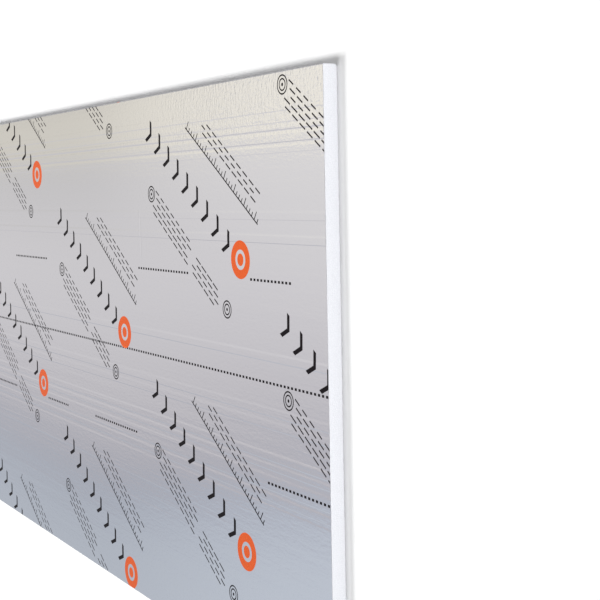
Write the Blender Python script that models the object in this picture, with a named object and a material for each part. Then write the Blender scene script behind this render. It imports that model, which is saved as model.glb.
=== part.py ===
"""Expanded polystyrene insulation board with a reflective film on one face.

The board lies flat with its film side up. The origin is at the middle of the
underside, X runs along the length, Y across the width and Z is up.
"""
import math

import bmesh
import bpy

INCH = 0.0254

# The board as it is sold: four feet by eight, over foam and film together
LENGTH = 96 * INCH
WIDTH = 48 * INCH
THICKNESS = 1.1875 * INCH

# The foam is cut with a hot wire, which leaves crisp arrises that wear to a small round. The two
# long arrises of the back are rounded more.
ARRIS_RADIUS = 0.0020
BACK_ARRIS_RADIUS = 0.0060
ARRIS_SEGMENTS = 6
MERGE_DISTANCE = 0.000001

# The film, and the line of adhesive that keeps it off the beads
FILM_THICKNESS = 0.00008
BOND_GAP = 0.0003

# The film turns down over the long arrises, by this angle. At the two ends it is trimmed back to
# where the flat of the foam ends.
LIP_TURN = math.radians(48)
LIP_STEPS = 5
FILM_SETBACK = 0.0020

# The laminating rollers leave lengthwise tucks in the film. Each lies like a low terrace: it rises
# gently on the side of the +Y edge, runs level and drops sharply on the other side. The table gives
# the drop's distance in from the +Y edge, the tuck's whole width and its height.
TUCKS = (
    (0.0760, 0.0180, 0.00010),
    (0.0980, 0.0150, 0.00012),
    (0.1120, 0.0115, 0.00022),
    (0.1360, 0.0220, 0.00024),
    (0.1560, 0.0180, 0.00012),
    (0.2860, 0.0200, 0.00014),
    (0.3320, 0.0200, 0.00022),
    (0.5670, 0.0200, 0.00020),
    (0.6770, 0.0200, 0.00014),
    (0.7030, 0.0200, 0.00012),
    (0.7670, 0.0200, 0.00022),
    (0.7860, 0.0160, 0.00020),
    (0.8270, 0.0340, 0.00018),
    (0.8500, 0.0200, 0.00020),
    (0.9250, 0.0700, 0.00014),
)
TUCK_RISE = 0.0065
TUCK_DROP = 0.0016
RISE_STEPS = 6
DROP_STEPS = 5

# Each colour is followed by its metallic and roughness values
FOAM_FINISH = ((0.90, 0.91, 0.93, 1.0), 0.0, 0.75)
FILM_FINISH = ((0.62, 0.62, 0.64, 1.0), 0.9, 0.38)


def clear_scene():
    """Take every object out of the scene, so that the script can be run again."""
    for old in list(bpy.data.objects):
        bpy.data.objects.remove(old, do_unlink=True)


def make_material(name, finish):
    """Return a Principled material in the given colour, metallic and roughness."""
    color, metallic, roughness = finish
    material = bpy.data.materials.new(name)
    material.use_nodes = True
    shader = material.node_tree.nodes["Principled BSDF"]
    shader.inputs["Base Color"].default_value = color
    shader.inputs["Metallic"].default_value = metallic
    shader.inputs["Roughness"].default_value = roughness
    material.diffuse_color = color
    return material


def slope_outline(start, width, low, high, steps):
    """Return the points of a smooth slope that leads from one height to another along +Y."""
    points = []
    for step in range(steps + 1):
        share = step / steps
        lift = (1 - math.cos(math.pi * share)) / 2
        points.append((start + share * width, low + (high - low) * lift))
    return points


def tuck_outline(distance, width, height):
    """Return the section points of one tuck: its sharp side, its level top and its gentle side."""
    start = WIDTH / 2 - distance
    crest = THICKNESS + height
    rise_start = start + width - TUCK_RISE
    sharp = slope_outline(start, TUCK_DROP, THICKNESS, crest, DROP_STEPS)
    gentle = slope_outline(rise_start, TUCK_RISE, crest, THICKNESS, RISE_STEPS)
    return sharp + gentle


def lip_outline(side):
    """Return the section points of the film's lip on one side, from the flat outwards and down.

    The lip shares its centre with the foam's arris, so that it keeps the bond's gap all the way.
    """
    radius = ARRIS_RADIUS + BOND_GAP + FILM_THICKNESS
    points = []
    for step in range(LIP_STEPS + 1):
        turn = LIP_TURN * step / LIP_STEPS
        reach = WIDTH / 2 - ARRIS_RADIUS + radius * math.sin(turn)
        points.append((side * reach, THICKNESS - radius * (1 - math.cos(turn))))
    return points


def film_outline():
    """Return the film's section, as (y, z) points of its upper side from edge to edge.

    The tucks are laid from the +Y edge, and those past the other edge are left out.
    """
    flat_edge = WIDTH / 2 - ARRIS_RADIUS
    points = lip_outline(-1)[::-1]
    for distance, width, height in sorted(TUCKS, reverse=True):
        if WIDTH / 2 - distance > -flat_edge:
            points.extend(tuck_outline(distance, width, height))
    points.extend(lip_outline(1))
    return points


def corner_arc(side_y, side_z, inset):
    """Return the section points of one long arris, with the whole section drawn in by the inset.

    Drawing in makes the arc smaller, down to a point.
    """
    full_radius = ARRIS_RADIUS if side_z > 0 else BACK_ARRIS_RADIUS
    radius = max(full_radius - inset, 0)
    depth = THICKNESS - FILM_THICKNESS - BOND_GAP
    centre_y = side_y * (WIDTH / 2 - max(full_radius, inset))
    centre_z = depth / 2 + side_z * (depth / 2 - max(full_radius, inset))
    first_turn = math.atan2(side_z, side_y) - math.pi / 4
    points = []
    for step in range(ARRIS_SEGMENTS + 1):
        turn = first_turn + math.pi / 2 * step / ARRIS_SEGMENTS
        points.append((centre_y + radius * math.cos(turn), centre_z + radius * math.sin(turn)))
    return points


def foam_section(inset):
    """Return the points round the foam's section, from the upper +Y arris anticlockwise."""
    corners = ((1, 1), (-1, 1), (-1, -1), (1, -1))
    return [point for side_y, side_z in corners for point in corner_arc(side_y, side_z, inset)]


def end_stations():
    """Return the places along +X where the end arris needs a section, each with its inset."""
    stations = []
    for step in range(ARRIS_SEGMENTS + 1):
        turn = math.pi / 2 * step / ARRIS_SEGMENTS
        reach = LENGTH / 2 - ARRIS_RADIUS * (1 - math.sin(turn))
        stations.append((reach, ARRIS_RADIUS * (1 - math.cos(turn))))
    return stations


def make_foam_core(material):
    """Loft the foam through its sections, which draw in towards both ends to round the end arrises."""
    ends = end_stations()
    stations = [(-reach, inset) for reach, inset in reversed(ends)] + ends
    shape = bmesh.new()
    rings = []
    for reach, inset in stations:
        rings.append([shape.verts.new((reach, y, z)) for y, z in foam_section(inset)])
    for ring, following in zip(rings, rings[1:]):
        for index in range(len(ring)):
            before = index - 1
            shape.faces.new((ring[before], ring[index], following[index], following[before]))
    shape.faces.new(reversed(rings[0]))
    shape.faces.new(rings[-1])
    bmesh.ops.remove_doubles(shape, verts=shape.verts, dist=MERGE_DISTANCE)

    mesh = bpy.data.meshes.new("foam_core")
    shape.to_mesh(mesh)
    shape.free()
    core = bpy.data.objects.new("foam_core", mesh)
    bpy.context.collection.objects.link(core)
    core.data.materials.append(material)
    return core


def make_facing_film(material):
    """Lay the film: its section is drawn along the board and given its thickness downwards."""
    reach = LENGTH / 2 - FILM_SETBACK
    outline = film_outline()
    near_end = [(-reach, y, z) for y, z in outline]
    far_end = [(reach, y, z) for y, z in outline]
    count = len(outline)
    faces = [(i, i + count, i + count + 1, i + 1) for i in range(count - 1)]

    mesh = bpy.data.meshes.new("facing_film")
    mesh.from_pydata(near_end + far_end, [], faces)
    mesh.update()
    film = bpy.data.objects.new("facing_film", mesh)
    bpy.context.collection.objects.link(film)

    sheet = film.modifiers.new("sheet", "SOLIDIFY")
    sheet.thickness = FILM_THICKNESS
    sheet.offset = -1
    sheet.use_even_offset = True
    film.data.materials.append(material)
    return film


def main():
    """Make the board, with the film parented to the foam that carries it."""
    clear_scene()
    core = make_foam_core(make_material("foam_white", FOAM_FINISH))
    film = make_facing_film(make_material("reflective_film", FILM_FINISH))
    film.parent = core
    film.matrix_parent_inverse = core.matrix_world.inverted()
    bpy.context.view_layer.update()


main()
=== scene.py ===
# %% [markdown]
# # A foam insulation board with a reflective film
#
# The board is a slab of expanded polystyrene: white beads, blown up with steam until they fuse, and cut
# from a big block with a hot wire. A thin metallised film is glued to one face. It lies flat on a pale
# studio floor, film side up, and the camera looks along it from beyond one end.
#
# Both pieces come measured and modelled, the film with its lengthwise tucks, so this script adds no shape.
# It gives each piece its finish, and sets up the floor, the light and the camera around them.

# %% Load the measured model
import math

import bpy
from mathutils import Matrix, Vector


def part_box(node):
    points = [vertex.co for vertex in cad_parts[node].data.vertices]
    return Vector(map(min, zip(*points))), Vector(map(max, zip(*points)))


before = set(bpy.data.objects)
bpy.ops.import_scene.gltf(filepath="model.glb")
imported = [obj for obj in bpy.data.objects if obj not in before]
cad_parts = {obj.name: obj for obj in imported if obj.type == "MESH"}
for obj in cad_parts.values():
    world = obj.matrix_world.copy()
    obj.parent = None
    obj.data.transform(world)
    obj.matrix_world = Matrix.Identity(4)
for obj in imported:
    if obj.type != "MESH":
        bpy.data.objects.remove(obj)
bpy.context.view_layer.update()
foam_low, foam_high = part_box("foam_core")
_, film_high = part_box("facing_film")

INCH = 0.0254
MILLIMETRE = 0.001
END_X = foam_high.x
EDGE_Y = foam_high.y
FILM_TOP = film_high.z
print("board", [round(side, 4) for side in foam_high - foam_low], "film top", round(FILM_TOP, 5))

# %% [markdown]
# ## Shader maths as arithmetic
#
# A material is a graph of nodes, and a long formula in it is hard to read. This class wraps one output
# socket, so that a formula on positions can be written as Python arithmetic: each operator adds its Math
# node. Every other node comes from one method, which sets the node up and joins its sockets. A mask is a
# number from 0 to 1, so the product of two masks is on where both are on.

# %% A socket that can be added, multiplied and compared
class Wire:
    """One output socket of a node tree. Sums and products of wires add Math nodes to the tree."""

    def __init__(self, tree, socket=None):
        self.tree = tree
        self.socket = socket

    def node(self, kind, settings=None, sockets=None, out=0):
        """Add any node: its settings first, then the values or wires of its inputs. Return an output."""
        made = self.tree.nodes.new(kind)
        for name, value in (settings or {}).items():
            if name == "stops":
                fill_ramp(made.color_ramp, value)
            else:
                setattr(made, name, value)
        for name, value in (sockets or {}).items():
            if isinstance(value, Wire):
                self.tree.links.new(value.socket, made.inputs[name])
            else:
                made.inputs[name].default_value = value
        return Wire(self.tree, made.outputs[out] if made.outputs else None)

    def math(self, operation, *others):
        """Add a Math node of this operation, fed by this wire and the others."""
        return self.node("ShaderNodeMath", {"operation": operation}, dict(enumerate((self,) + others)))

    def __add__(self, other):
        return self.math("ADD", other)

    __radd__ = __add__

    def __mul__(self, other):
        return self.math("MULTIPLY", other)

    __rmul__ = __mul__

    def __sub__(self, other):
        return self.math("SUBTRACT", other)

    def __rsub__(self, other):
        return self * -1 + other

    def __truediv__(self, other):
        return self.math("DIVIDE", other)

    def __lt__(self, other):
        return self.math("LESS_THAN", other)

    def __gt__(self, other):
        return self.math("GREATER_THAN", other)

    def __abs__(self):
        return self.math("ABSOLUTE")

    def floor(self):
        """The whole number below a value."""
        return self.math("FLOOR")

    def at_least(self, other):
        """The larger of two values. Of two masks, it is on where either is."""
        return self.math("MAXIMUM", other)

    def at_most(self, other):
        """The smaller of two values."""
        return self.math("MINIMUM", other)

    def wrap(self, period):
        """How far along its period a value is, from 0 to the period."""
        return self.math("FLOORED_MODULO", period)

    def centred(self, period):
        """How far a value is from the nearest multiple of the period."""
        return (self + period / 2).wrap(period) - period / 2

    def within(self, low, high):
        """A mask that is on where the value lies between low and high."""
        return (self > low) * (self < high)

    def ease(self, start, end):
        """A smooth step from 0 at the start to 1 at the end, which may be the lower of the two."""
        sockets = {"Value": self, "From Min": start, "From Max": end}
        return self.node("ShaderNodeMapRange", {"interpolation_type": "SMOOTHSTEP"}, sockets)

    def between(self, low, high):
        """A value that goes from low to high as this mask goes from 0 to 1."""
        return self * (high - low) + low


def fill_ramp(ramp, stops):
    """Give a colour ramp its stops, each a position and a colour."""
    while len(ramp.elements) < len(stops):
        ramp.elements.new(0.5)
    for element, (position, color) in zip(ramp.elements, stops):
        element.position = position
        element.color = (*color, 1)


print("a formula on wires makes its own nodes")

# %% Colours
def as_color(value):
    """A colour socket takes four numbers: add the fourth to a plain colour."""
    return value if isinstance(value, Wire) else (*value, 1)


def mix_color(share, first, second):
    """Mix two colours, plain or wired, by a share from 0 to 1."""
    sockets = {0: share, 6: as_color(first), 7: as_color(second)}
    return share.node("ShaderNodeMix", {"data_type": "RGBA"}, sockets, out=2)


print("colours go through a Mix node, because a Math node would turn them grey")

# %% Positions and noise
def split(point):
    """The three numbers of a point or a direction."""
    return [point.node("ShaderNodeSeparateXYZ", sockets={0: point}, out=axis) for axis in "XYZ"]


def object_position(start):
    """The position on a piece, in metres, as a point and as its three numbers."""
    point = start.node("ShaderNodeTexCoord", out="Object")
    return point, split(point)


def noise(point, scale, detail=2.0):
    """Soft noise from 0 to 1, with features about 1 / scale metres across."""
    return point.node("ShaderNodeTexNoise", sockets={"Vector": point, "Scale": scale, "Detail": detail})


print("positions are in metres, so the noise scales are in features for each metre")

# %% Materials
def new_material(name):
    """Make an empty material. Return it with a blank wire to start its formulas from."""
    material = bpy.data.materials.new(name)
    material.use_nodes = True
    material.node_tree.nodes.clear()
    return material, Wire(material.node_tree)


def finish_material(start, surface):
    """Send a shader to the material's output."""
    start.node("ShaderNodeOutputMaterial", sockets={"Surface": surface})


def paint(node_name, material):
    """Give a piece of the measured model this material alone."""
    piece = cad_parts[node_name]
    piece.data.materials.clear()
    piece.data.materials.append(material)
    print(node_name, "is painted with", material.name)


print("pieces to paint:", sorted(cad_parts))

# %% [markdown]
# ## The foam's cut faces
#
# Each bead is a ball that swelled against its neighbours into a rounded, many-sided cell. A hot wire slices
# through the cells and leaves a slight skin on each, with a fine groove where two beads meet. A Voronoi
# texture has just that pattern, and the grooves are only tenths of a millimetre deep, so a bump is enough.
# The grooves are also coloured a little darker, as painted shade. The position is bent a little first,
# because real seams aren't straight.

# %% Beads and the seams between them
BEAD = 0.0042
BEAD_VARIETY = 0.85
WOBBLE_SCALE = 90.0
WOBBLE = BEAD * 0.5


def bead_cells(start, point):
    """Return how far a point is from the nearest seam, in beads, and a tone that each bead has."""
    wobble = start.node("ShaderNodeTexNoise", sockets={"Vector": point, "Scale": WOBBLE_SCALE}, out="Color")
    shift = {0: wobble, 1: (WOBBLE,) * 3, 2: point}
    bent = start.node("ShaderNodeVectorMath", {"operation": "MULTIPLY_ADD"}, shift)
    cells = {"Vector": bent, "Scale": 1 / BEAD, "Randomness": BEAD_VARIETY}
    seam = start.node("ShaderNodeTexVoronoi", {"feature": "DISTANCE_TO_EDGE"}, cells)
    tint = start.node("ShaderNodeTexVoronoi", {"feature": "F1"}, cells, out="Color")
    return seam, tint.node("ShaderNodeSeparateColor", sockets={0: tint})


print("beads", round(BEAD / MILLIMETRE, 1), "mm across")

# %% White bead foam
FOAM_WHITE = (0.90, 0.91, 0.955)
# Painted shade: the groove colour on the next line, mixed in by SEAM_SHADE, darkens the grooves between
# beads
GROOVE_SHADE_WHITE = (0.80, 0.815, 0.86)
SEAM_WIDTH = 0.16
SEAM_SHADE = 0.55
TONE_SHADE = 0.10
CROWN_WIDTH = 0.35
GRAIN_SCALE = 900.0
GRAIN_HEIGHT = 0.25
GROOVE_DEPTH = 0.4 * MILLIMETRE
GROOVE_STRENGTH = 0.5
FOAM_ROUGHNESS = (0.62, 0.82)
FOAM_GLOSS = 0.3


def foam_material():
    """White foam: rounded beads, with a rougher groove between them that is coloured darker as painted
    shade.
    """
    material, start = new_material("bead_foam")
    point, _ = object_position(start)
    seam, tone = bead_cells(start, point)
    groove = 1 - seam.ease(0.0, SEAM_WIDTH)
    # The groove's share of this is painted shade, and the tone of each bead is the foam's own
    shade = groove * SEAM_SHADE + tone * TONE_SHADE
    height = seam.ease(0.0, CROWN_WIDTH) + noise(point, GRAIN_SCALE, detail=3.0) * GRAIN_HEIGHT
    relief = {"Strength": GROOVE_STRENGTH, "Distance": GROOVE_DEPTH, "Height": height}
    surface = start.node(
        "ShaderNodeBsdfPrincipled",
        sockets={
            "Base Color": mix_color(shade, FOAM_WHITE, GROOVE_SHADE_WHITE),
            "Roughness": groove.between(*FOAM_ROUGHNESS),
            "Normal": start.node("ShaderNodeBump", sockets=relief),
            "Specular IOR Level": FOAM_GLOSS,
        },
    )
    finish_material(start, surface)
    return material


paint("foam_core", foam_material())

# %% [markdown]
# ## Where the print goes
#
# The film is printed by a roller, so its pattern repeats. Every motif comes back 24 inches further towards
# +Y. It also comes back 24 inches further along +X and two thirds of that towards -Y, so the rows slant.
# Each motif is drawn only once here, in the two coordinates of its own cell. The position is wrapped round
# to that cell, which carries the motif over the whole board with no copies.

# %% The print's lattice
REPEAT = 24 * INCH
COLUMN_DROP = 2 / 3
SLANT = math.atan(COLUMN_DROP)
CELL_LENGTH = REPEAT * math.hypot(1, COLUMN_DROP)
CELL_WIDTH = REPEAT * REPEAT / CELL_LENGTH
ROW_SHIFT = REPEAT * math.sin(SLANT)
PRINT_START = (0.115, 0.145)


def cell_position(x, y):
    """Where a point of the board lies in its print cell: along the slant and across it."""
    x = x - PRINT_START[0]
    y = y - PRINT_START[1]
    along = x * math.cos(SLANT) - y * math.sin(SLANT)
    across = x * math.sin(SLANT) + y * math.cos(SLANT)
    row = (across / CELL_WIDTH + 0.5).floor()
    return (along + row * ROW_SHIFT).centred(CELL_LENGTH), across - row * CELL_WIDTH


print("print cell", round(CELL_LENGTH, 4), "by", round(CELL_WIDTH, 4), "m")

# %% [markdown]
# ## The motifs
#
# The motifs are plain and serve the work: a row of arrowheads, an orange target, two small fixing targets,
# a strip of ruler ticks and blocks of broken lines. An image could hold them, but it would blur close up.
# Here each is a mask, 1 where there is ink and 0 where there is none, built from distances in the cell.

# %% Arrowheads
# The arrowheads are numbered along the slant, and only those between ARROW_NUMBERS are printed
ARROW_PITCH = 0.056
ARROW_HALF_HEIGHT = 0.026
ARROW_HALF_STROKE = 0.0055
ARROW_SWEEP = 0.62
ARROW_NUMBERS = (-6, 3)


def arrow_mask(along, across):
    """A row of arrowheads that point along the slant."""
    drift = along + abs(across) * ARROW_SWEEP
    middle = (drift / ARROW_PITCH).floor() + 0.5
    stroke = abs(drift - middle * ARROW_PITCH) < ARROW_HALF_STROKE
    return stroke * (abs(across) < ARROW_HALF_HEIGHT) * middle.within(*ARROW_NUMBERS)


print("arrowheads", ARROW_PITCH, "m apart")

# %% Targets
# Each spot is a place in the cell, along the slant and across it
ORANGE_SPOT = (0.198, 0.004)
ORANGE_RADII = (0.013, 0.021, 0.040)
FIXING_SPOTS = ((-0.235, -0.118), (0.205, -0.120))
FIXING_RADII = (0.0035, 0.0095, 0.0125, 0.0165, 0.0195)


def any_of(masks):
    """A mask that is on where any of these is."""
    joined = masks[0]
    for mask in masks[1:]:
        joined = joined.at_least(mask)
    return joined


def target_mask(along, across, spot, radii):
    """A filled dot with rings round it. The radii are the dot's, then the inner and outer of each ring."""
    squares = [(along - spot[0]).math("POWER", 2.0), (across - spot[1]).math("POWER", 2.0)]
    radius = (squares[0] + squares[1]).math("SQRT")
    rings = [radius.within(inner, outer) for inner, outer in zip(radii[1::2], radii[2::2])]
    return any_of([radius < radii[0]] + rings)


print("the orange target is", round(2 * ORANGE_RADII[-1], 3), "m across")

# %% Ruler ticks
TICK_PITCH = INCH / 2
TICK_WIDTH = 0.0028
TICK_HEIGHT = 0.009
TALL_EVERY = 4
TICK_SPAN = (-0.16, 0.22)
RULE_LINE = 0.108
RULE_THICKNESS = 0.003


def tick_mask(along, across):
    """Ruler ticks on a ruled line, every fourth one twice as tall."""
    tick = abs(along.centred(TICK_PITCH)) < TICK_WIDTH / 2
    tall = abs(along.centred(TALL_EVERY * TICK_PITCH)) < TICK_PITCH / 2
    rise = across - RULE_LINE
    ticks = tick * (rise > 0) * (rise - (tall + 1) * TICK_HEIGHT < 0)
    rule = rise.within(-RULE_THICKNESS, 0.0)
    return ticks.at_least(rule) * along.within(*TICK_SPAN)


print("ticks", round(TICK_PITCH, 4), "m apart")

# %% Blocks of broken lines
# Each block has its span along the cell, its span across it and a seed that places its gaps
HATCH_BLOCKS = (
    ((-0.205, 0.005), (-0.150, -0.086), 0.0),
    ((0.030, 0.170), (-0.150, -0.099), 0.31),
    ((-0.085, 0.190), (0.140, 0.178), 0.57),
)
HATCH_PITCH = 0.0125
HATCH_THICKNESS = 0.0034
DASH_PITCH = 0.031
DASH_SHARE = 0.62
DASH_VARIETY = 0.2
ROW_STAGGER = 0.37


def hatch_mask(along, across, block):
    """A block of broken lines, each row broken in its own places. A dash is printed whole or not at all."""
    span, rows, seed = block
    row = (across / HATCH_PITCH).floor()
    line = across - row * HATCH_PITCH < HATCH_THICKNESS
    shift = (row * ROW_STAGGER + seed).wrap(1.0)
    count = along / DASH_PITCH + shift
    dash = count.wrap(1.0) < shift * DASH_VARIETY + DASH_SHARE
    middle = (count.floor() + 0.5 - shift) * DASH_PITCH
    return line * dash * middle.within(*span) * ((row + 0.5) * HATCH_PITCH).within(*rows)


print("blocks of broken lines", len(HATCH_BLOCKS))

# %% [markdown]
# ## The dotted guide lines
#
# Three dotted lines run the whole length at 16, 24 and 32 inches, where studs or joists fall. The middle
# one is unbroken. The other two leave out the dots that would run through the print, and a dot is left out
# whole: the gap is looked up at the dot's middle and not at each point of it.

# %% Guide lines
# Each line has its distance from the -Y edge, and whether it stops for the print
GUIDE_LINES = ((16 * INCH, True), (24 * INCH, False), (32 * INCH, True))
DOT_PITCH = REPEAT / 44
DOT_HALF_LENGTH = 0.0040
DOT_HALF_HEIGHT = 0.0026
PRINT_REACH = (-0.345, 0.255)
PRINT_BELT = (-0.165, 0.190)


def guide_mask(x, y):
    """The dots of the guide lines, without those that would cross the print."""
    middle_x = ((x / DOT_PITCH).floor() + 0.5) * DOT_PITCH
    beside = abs(x - middle_x) < DOT_HALF_LENGTH
    lines = []
    for distance, stops_for_print in GUIDE_LINES:
        line_y = distance - EDGE_Y
        dots = beside * (abs(y - line_y) < DOT_HALF_HEIGHT)
        if stops_for_print:
            along, across = cell_position(middle_x, line_y)
            dots = dots * (1 - along.within(*PRINT_REACH) * across.within(*PRINT_BELT))
        lines.append(dots)
    return any_of(lines)


print("guide dots", round(DOT_PITCH / MILLIMETRE, 2), "mm apart")

# %% All the ink
def ink_masks(x, y):
    """The masks of the black, the grey and the orange ink."""
    along, across = cell_position(x, y)
    black = [arrow_mask(along, across), guide_mask(x, y), tick_mask(along, across)]
    black += [target_mask(along, across, spot, FIXING_RADII) for spot in FIXING_SPOTS]
    grey = [hatch_mask(along, across, block) for block in HATCH_BLOCKS]
    orange = target_mask(along, across, ORANGE_SPOT, ORANGE_RADII)
    return any_of(black), any_of(grey), orange


print("inks: black, grey and orange")

# %% [markdown]
# ## The film's fine relief
#
# The film is glued over beads, and their roundness shows through it as a fine orange peel. Rolling draws it
# out along the board, which leaves folds, ridges and short marks. Near the +Y edge it lies slacker, and at
# one end of that edge it is crumpled and dented. The tucks are real steps, so they are in the measured
# model. All that is finer stays under a millimetre, and a bump is enough for it, because it turns the
# reflections as a real slope would. The heights here are in millimetres.

# %% Drawn-out noise and distances from the edge
def streaky_noise(point, per_metre, detail=2.0):
    """Soft noise that is drawn out: it takes how many features there are in a metre of each axis."""
    squeezed = point.node("ShaderNodeMapping", sockets={"Vector": point, "Scale": per_metre})
    return noise(squeezed, 1.0, detail)


def from_edge(y, far, near):
    """A mask that rises from 0 to 1 between two distances from the +Y edge."""
    return y.ease(EDGE_Y - far, EDGE_Y - near)


print("the +Y edge is at", round(EDGE_Y, 4), "m")

# %% Beads, slack and dents
# The first of two heights holds over most of the board. The second holds in the crumpled corner, and for
# the slack near the edge.
BEAD_SMOOTHNESS = 0.6
BEAD_HEIGHT = (0.04, 0.10)
PEEL_SCALE = 160.0
PEEL_HEIGHT = (0.05, 0.35)
SLACK_PER_METRE = (150.0, 50.0, 1.0)
SLACK_HEIGHT = (0.03, 0.05)
CORNER_SLACK = 0.46
DENTS_PER_METRE = 16.0
DENT_WIDTH = 0.06
DENT_DEPTH = 0.40
EDGE_BAND = (0.20, 0.05)
CORNER_BAND = (0.9, 0.3)


def glued_relief(start, point, x, y):
    """What the beads raise, and how the film lies slack over them near the +Y edge."""
    near_edge = from_edge(y, *EDGE_BAND)
    corner = near_edge * x.ease(END_X - CORNER_BAND[0], END_X - CORNER_BAND[1])
    cells = {"Vector": point, "Scale": 1 / BEAD, "Smoothness": BEAD_SMOOTHNESS}
    beads = 1 - start.node("ShaderNodeTexVoronoi", {"feature": "SMOOTH_F1"}, cells)
    peel = noise(point, PEEL_SCALE)
    slack = streaky_noise(point, SLACK_PER_METRE)
    spots = start.node("ShaderNodeTexVoronoi", sockets={"Vector": point, "Scale": DENTS_PER_METRE})
    dents = 1 - spots.ease(0.0, DENT_WIDTH)
    relief = beads * corner.between(*BEAD_HEIGHT) + peel * corner.between(*PEEL_HEIGHT)
    relief = relief + slack * (near_edge.between(*SLACK_HEIGHT) + corner * CORNER_SLACK)
    return relief - dents * corner * DENT_DEPTH


print("the crumpled corner starts", CORNER_BAND[0], "m from the end")

# %% Folds, ridges and short marks
# The first height holds in the half of the board towards -Y, the second in the calmer half towards +Y
FOLDS_PER_METRE = (0.8, 30.0, 1.0)
FOLD_HEIGHT = (0.30, 0.13)
RIDGES_PER_METRE = (2.0, 90.0, 1.0)
RIDGE_RANGE = (0.56, 0.76)
RIDGE_HEIGHT = (0.075, 0.010)
MARKS_PER_METRE = (50.0, 150.0, 1.0)
MARK_HEIGHT = (0.17, 0.08)
CALM_BAND = (0.72, 0.58)


def rolled_relief(point, y):
    """What the rolling leaves. Only the peaks of the ridges' noise stand up, so they are few."""
    calm = from_edge(y, *CALM_BAND)
    folds = streaky_noise(point, FOLDS_PER_METRE) * calm.between(*FOLD_HEIGHT)
    ridges = streaky_noise(point, RIDGES_PER_METRE).ease(*RIDGE_RANGE) * calm.between(*RIDGE_HEIGHT)
    marks = streaky_noise(point, MARKS_PER_METRE) * calm.between(*MARK_HEIGHT)
    return folds + ridges + marks


print("ridges up to", RIDGE_HEIGHT[0], "mm high")

# %% Steps at three tucks, and one crease
# Each step has its distance from the +Y edge and its height
TUCK_STEPS = ((0.0755, 0.04), (0.1113, 0.12), (0.1353, 0.08))
TUCK_STEP_HALF = 0.0022
CREASE_X = END_X - 0.829
CREASE_HALF = 0.006
CREASE_SPAN = (0.40, 0.26)
CREASE_FADE = 0.04
CREASE_HEIGHT = 0.50


def tuck_relief(y):
    """A fine extra step on the sharp side of three tucks near the edge, which shows as a darker line."""
    return sum(
        from_edge(y, distance + TUCK_STEP_HALF, distance - TUCK_STEP_HALF) * height
        for distance, height in TUCK_STEPS
    )


def crease_mask(x, y, middle):
    """A short fold across the film, which dies away towards both ends."""
    line = 1 - abs(x - middle).ease(0.0, CREASE_HALF)
    far, near = CREASE_SPAN
    return line * from_edge(y, far, far - CREASE_FADE) * from_edge(y, near, near + CREASE_FADE)


print("the crease is", round(END_X - CREASE_X, 3), "m from the end")

# %% [markdown]
# ## The film's metal and ink
#
# The film is plastic with a breath of aluminium on its back, so it shines like satin metal. The black and
# grey inks cover the metal, and their masks turn it off. The orange is a clear ink, so most of the metal
# shines through it. All three are rougher than the bare film. Beside the crease the metal is coloured a
# little towards the grey ink, as painted shade.

# %% Reflective film
SILVER_DARK = (0.794, 0.793, 0.804)
SILVER_LIGHT = (0.812, 0.806, 0.811)
STREAKS_PER_METRE = (0.4, 90.0, 1.0)
BLACK_INK = (0.007, 0.005, 0.006)
# The grey ink's colour, which also serves as the painted shade beside the crease
GREY_INK_AND_CREASE_SHADE = (0.025, 0.022, 0.024)
ORANGE_INK = (0.97, 0.155, 0.030)
ORANGE_COVER = 0.3
# Painted shade: how far the metal beside the crease is darkened towards the grey ink's colour
CREASE_SHADE = 0.08
FILM_ROUGHNESS = (0.10, 0.45)
INK_GLOSS = 0.05


def film_color(point, x, y, masks):
    """Faintly streaked silver, with painted shade beside the crease, and the inks laid over it one by one.
    """
    color = mix_color(streaky_noise(point, STREAKS_PER_METRE, detail=5.0), SILVER_DARK, SILVER_LIGHT)
    # Painted shade beside the crease, in the grey ink's colour
    shade = crease_mask(x, y, CREASE_X + CREASE_HALF) * CREASE_SHADE
    black, grey, orange = masks
    for mask, ink in ((shade, GREY_INK_AND_CREASE_SHADE), (grey, GREY_INK_AND_CREASE_SHADE), (black, BLACK_INK), (orange, ORANGE_INK)):
        color = mix_color(mask, color, ink)
    return color


def film_material():
    """Satin metal film with its print."""
    material, start = new_material("printed_film")
    point, (x, y, _) = object_position(start)
    black, grey, orange = ink_masks(x, y)
    cover = black.at_least(grey)
    height = glued_relief(start, point, x, y) + rolled_relief(point, y) + tuck_relief(y)
    height = height + crease_mask(x, y, CREASE_X) * CREASE_HEIGHT
    relief = {"Strength": 1.0, "Distance": MILLIMETRE, "Height": height}
    surface = start.node(
        "ShaderNodeBsdfPrincipled",
        sockets={
            "Base Color": film_color(point, x, y, (black, grey, orange)),
            "Metallic": 1 - cover - orange * ORANGE_COVER,
            "Roughness": cover.at_least(orange).between(*FILM_ROUGHNESS),
            "Normal": start.node("ShaderNodeBump", sockets=relief),
            "Specular IOR Level": INK_GLOSS,
        },
    )
    finish_material(start, surface)
    return material


paint("facing_film", film_material())

# %% [markdown]
# ## The studio floor
#
# The floor is a pale sweep whose edge is never seen, so one very large plane will do. Light Path tells the
# camera's own rays from the others. To the camera the floor is pure white, and darker only in the board's
# shadow. To every other ray it is a mid grey, so that it throws little light back on to the board.

# %% Floor
FLOOR_SIZE = 60.0
FLOOR_SEEN = (1.0, 1.0, 1.0)
FLOOR_GREYS = ((0.50, 0.50, 0.50), (0.52, 0.52, 0.52))
CLOUD_SCALE = 3.0


def floor_material():
    """A matt pale floor, which the camera sees as white."""
    material, start = new_material("studio_floor")
    seen = start.node("ShaderNodeLightPath", out="Is Camera Ray")
    point, _ = object_position(start)
    color = mix_color(seen, mix_color(noise(point, CLOUD_SCALE), *FLOOR_GREYS), FLOOR_SEEN)
    finish_material(start, start.node("ShaderNodeBsdfDiffuse", sockets={"Color": color}))
    return material


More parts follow.
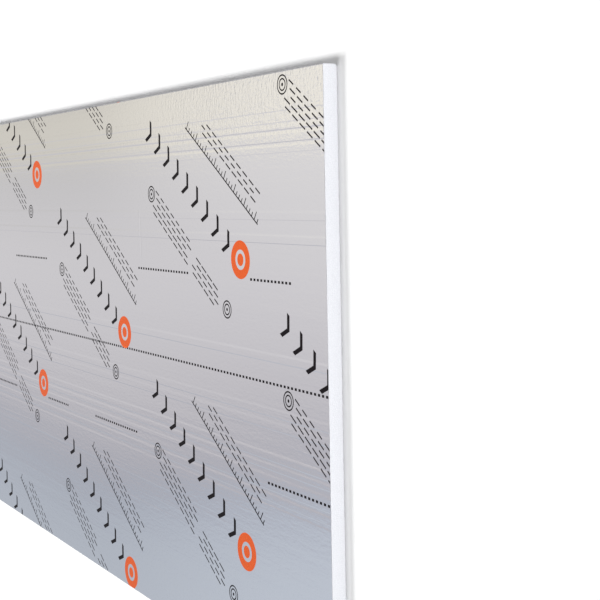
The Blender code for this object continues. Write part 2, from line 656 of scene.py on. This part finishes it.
bpy.ops.object.select_all(action="DESELECT")
bpy.ops.mesh.primitive_plane_add(size=FLOOR_SIZE)
floor = bpy.context.object
floor.name = "studio_floor"
floor.data.materials.append(floor_material())
print("floor", FLOOR_SIZE, "m")

# %% [markdown]
# ## The sky
#
# The film is a satin mirror, so its colours are those of the room around it. Walls and panels could be
# modelled for it, but a sky that is painted by direction does the same and is easier to tune. What a point
# of the film mirrors depends most on how far the mirrored direction leans to the side, in metres towards +Y
# for each metre up. So one colour ramp along that lean holds the room: cooler and darker towards -Y, pale
# grey overhead, and a warm bright band a little towards +Y. Its stops are few and given one by one.
#
# Rays that come off the film get that ramp. Rays that come off matt surfaces get plain white light instead,
# so that the foam keeps its own white. The camera sees white behind everything.

# %% The room's colours
# Each stop is a lean and the colour of the light there
SKY_STOPS = (
    (-4.00, (0.90, 0.91, 0.93)),
    (-2.20, (0.55, 0.59, 0.66)),
    (-1.10, (0.66, 0.71, 0.79)),
    (-0.62, (0.61, 0.66, 0.74)),
    (-0.56, (0.58, 0.625, 0.71)),
    (-0.50, (0.50, 0.535, 0.62)),
    (-0.481, (0.49, 0.52, 0.60)),
    (-0.466, (0.54, 0.535, 0.585)),
    (-0.43, (0.53, 0.525, 0.575)),
    (-0.33, (0.63, 0.615, 0.65)),
    (-0.16, (0.745, 0.73, 0.755)),
    (0.066, (0.83, 0.815, 0.82)),
    (0.080, (0.93, 0.90, 0.84)),
    (0.18, (1.065, 1.02, 0.905)),
    (0.28, (0.85, 0.83, 0.81)),
    (0.40, (0.82, 0.81, 0.81)),
    (0.60, (0.85, 0.84, 0.83)),
    (1.00, (0.70, 0.695, 0.70)),
    (2.20, (0.52, 0.53, 0.56)),
    (4.00, (0.90, 0.90, 0.91)),
)
LEAN_LOW = SKY_STOPS[0][0]
LEAN_RANGE = SKY_STOPS[-1][0] - LEAN_LOW


def room_color(lean):
    """The colour of the room at a lean."""
    stops = [((at - LEAN_LOW) / LEAN_RANGE, color) for at, color in SKY_STOPS]
    return lean.node("ShaderNodeValToRGB", {"stops": stops}, {"Fac": (lean - LEAN_LOW) / LEAN_RANGE})


print("sky stops", len(SKY_STOPS))

# %% The room's depth
# Seen by the camera, the near end of the film mirrors directions that lean away from it by AWAY_START
# metres for each metre up, and the left of the picture mirrors those that lean away by AWAY_SPAN more.
# Each side or band has the lean at which it starts and the one from which it is full.
AWAY_START = 1.62
AWAY_SPAN = 0.78
AWAY_LIMITS = (-0.4, 1.1)
COOL_SHIFT = 0.13
COOL_SIDE = (0.0, -0.4)
WARM_SIDE = (-0.2, 0.25)
WARM_LOSS = 0.21
DARK_BAND = (-0.42, -0.52)
DARK_LOSS = 0.10
FAR_LOSS = 0.055
NEAR_GAIN = 0.12


def room_depth(away):
    """How deep into the room a direction points, from 0 over the near end of the film."""
    low, high = AWAY_LIMITS
    return ((away - AWAY_START) / AWAY_SPAN).at_least(low).at_most(high)


def shifted_lean(lean, depth):
    """The lean at which the ramp is read: deep in the room, the cool colours lie further to the side."""
    return lean + depth * COOL_SHIFT * lean.ease(*COOL_SIDE)


def room_brightness(lean, shifted, depth):
    """How bright the room is. It dims with depth, most of all in the warm band and past the dark one."""
    deep = depth.at_least(0.0)
    dim = 1 - deep * deep * lean.ease(*WARM_SIDE) * WARM_LOSS - deep * FAR_LOSS
    dim = dim - depth.at_most(0.0) * NEAR_GAIN
    return dim - deep * shifted.ease(*DARK_BAND) * DARK_LOSS


print("the room dims by", FAR_LOSS, "over its depth")

# %% Sky
# A direction lower than HORIZON counts as that high, so that its lean stays finite. A matt surface gets
# MATT_ALL from every side, and up to MATT_LOW more from low down.
HORIZON = 0.05
MATT_LOW = 0.49
MATT_ALL = 0.18
WHITE = (1, 1, 1)


def make_sky():
    """A dome of soft light: the room for the film, plain light for matt surfaces, white for the camera."""
    world = bpy.data.worlds.new("studio_sky")
    world.use_nodes = True
    world.node_tree.nodes.clear()
    start = Wire(world.node_tree)
    ahead, side, up = split(start.node("ShaderNodeTexCoord", out="Generated"))
    height = up.at_least(HORIZON)
    lean = side / height
    depth = room_depth(ahead / height * -1)
    shifted = shifted_lean(lean, depth)

    seen = start.node("ShaderNodeLightPath", out="Is Camera Ray")
    matt = start.node("ShaderNodeLightPath", out="Is Diffuse Ray")
    color = mix_color(seen.at_least(matt), room_color(shifted), WHITE)
    plain = (1 - up).math("POWER", 2.0) * MATT_LOW + MATT_ALL
    mirrored = (1 - seen) * (1 - matt) * room_brightness(lean, shifted, depth)
    sockets = {"Color": color, "Strength": mirrored + seen + matt * plain}
    light = start.node("ShaderNodeBackground", sockets=sockets)
    start.node("ShaderNodeOutputWorld", sockets={"Surface": light})
    bpy.context.scene.world = world


make_sky()
print("sky made")

# %% [markdown]
# ## The lamps
#
# The soft shadow lies past the +X end and the +Y edge, so the two lamps that throw it shine from beyond the
# other end and the other edge. They leave the +X end face in shade, and a third lamp shines on it almost
# level. A sun lamp gives even light over the whole board, and its angle sets how soft the shadow's edge is.
# The film doesn't mirror the lamps, because it would show each as a hard bright spot.

# %% Lamps
# Each lamp has the direction that it shines in, its strength and the softness of its shadows in degrees
LAMPS = {
    "key_light": ((1.00, 0.55, -1.00), 2.22, 20),
    "side_light": ((0.25, 0.60, -1.00), 0.87, 18),
    "end_fill": ((-1.0, 0.05, -0.12), 2.50, 30),
}


def make_sun(name, toward, strength, softness):
    """A far lamp that shines along a direction, with a soft edge to its shadows."""
    data = bpy.data.lights.new(name, "SUN")
    data.energy = strength
    data.angle = math.radians(softness)
    lamp = bpy.data.objects.new(name, data)
    lamp.rotation_euler = Vector(toward).to_track_quat("-Z", "Y").to_euler()
    lamp.visible_glossy = False
    bpy.context.scene.collection.objects.link(lamp)


for name, settings in LAMPS.items():
    make_sun(name, *settings)
print("lamps", ", ".join(LAMPS))

# %% [markdown]
# ## The camera
#
# The photograph was taken close to one end with a lens of about 72 mm, level with the upper part of the
# board. With the board lying down, the same view is had from beyond its end, looking down along it, with
# the camera rolled so that the board's far long edge is at the top of the picture.

# %% Camera
# The lens is in millimetres, the shift is a share of the picture's width, the roll is in degrees and the
# rest is in metres
LENS = 72.2
SHIFT_UP = -0.0633
CAMERA_BEYOND_END = 1.841
CAMERA_OFF_MIDDLE = 0.3748
CAMERA_ABOVE_FILM = 1.1847
AIM_FROM_END = 0.0928
AIM_OFF_MIDDLE = 0.246
ROLL = -1.115
VIEW_DEPTH = 100


def make_camera():
    """Aim the camera, with the board's width up in the picture, and give it the photograph's lens."""
    place = Vector((END_X + CAMERA_BEYOND_END, CAMERA_OFF_MIDDLE, FILM_TOP + CAMERA_ABOVE_FILM))
    aim = Vector((END_X - AIM_FROM_END, AIM_OFF_MIDDLE, FILM_TOP))
    back = (place - aim).normalized()
    right = Vector((0, 1, 0)).cross(back).normalized()
    up = back.cross(right)
    turn = Matrix((right, up, back)).transposed() @ Matrix.Rotation(math.radians(ROLL), 3, "Z")
    data = bpy.data.cameras.new("camera")
    data.lens = LENS
    data.shift_y = SHIFT_UP
    data.clip_end = VIEW_DEPTH
    camera = bpy.data.objects.new("camera", data)
    camera.matrix_world = Matrix.Translation(place) @ turn.to_4x4()
    bpy.context.scene.collection.objects.link(camera)
    bpy.context.scene.camera = camera
    return camera


camera = make_camera()
bpy.context.scene.view_settings.view_transform = "Standard"
print("camera at", [round(value, 3) for value in camera.matrix_world.translation])
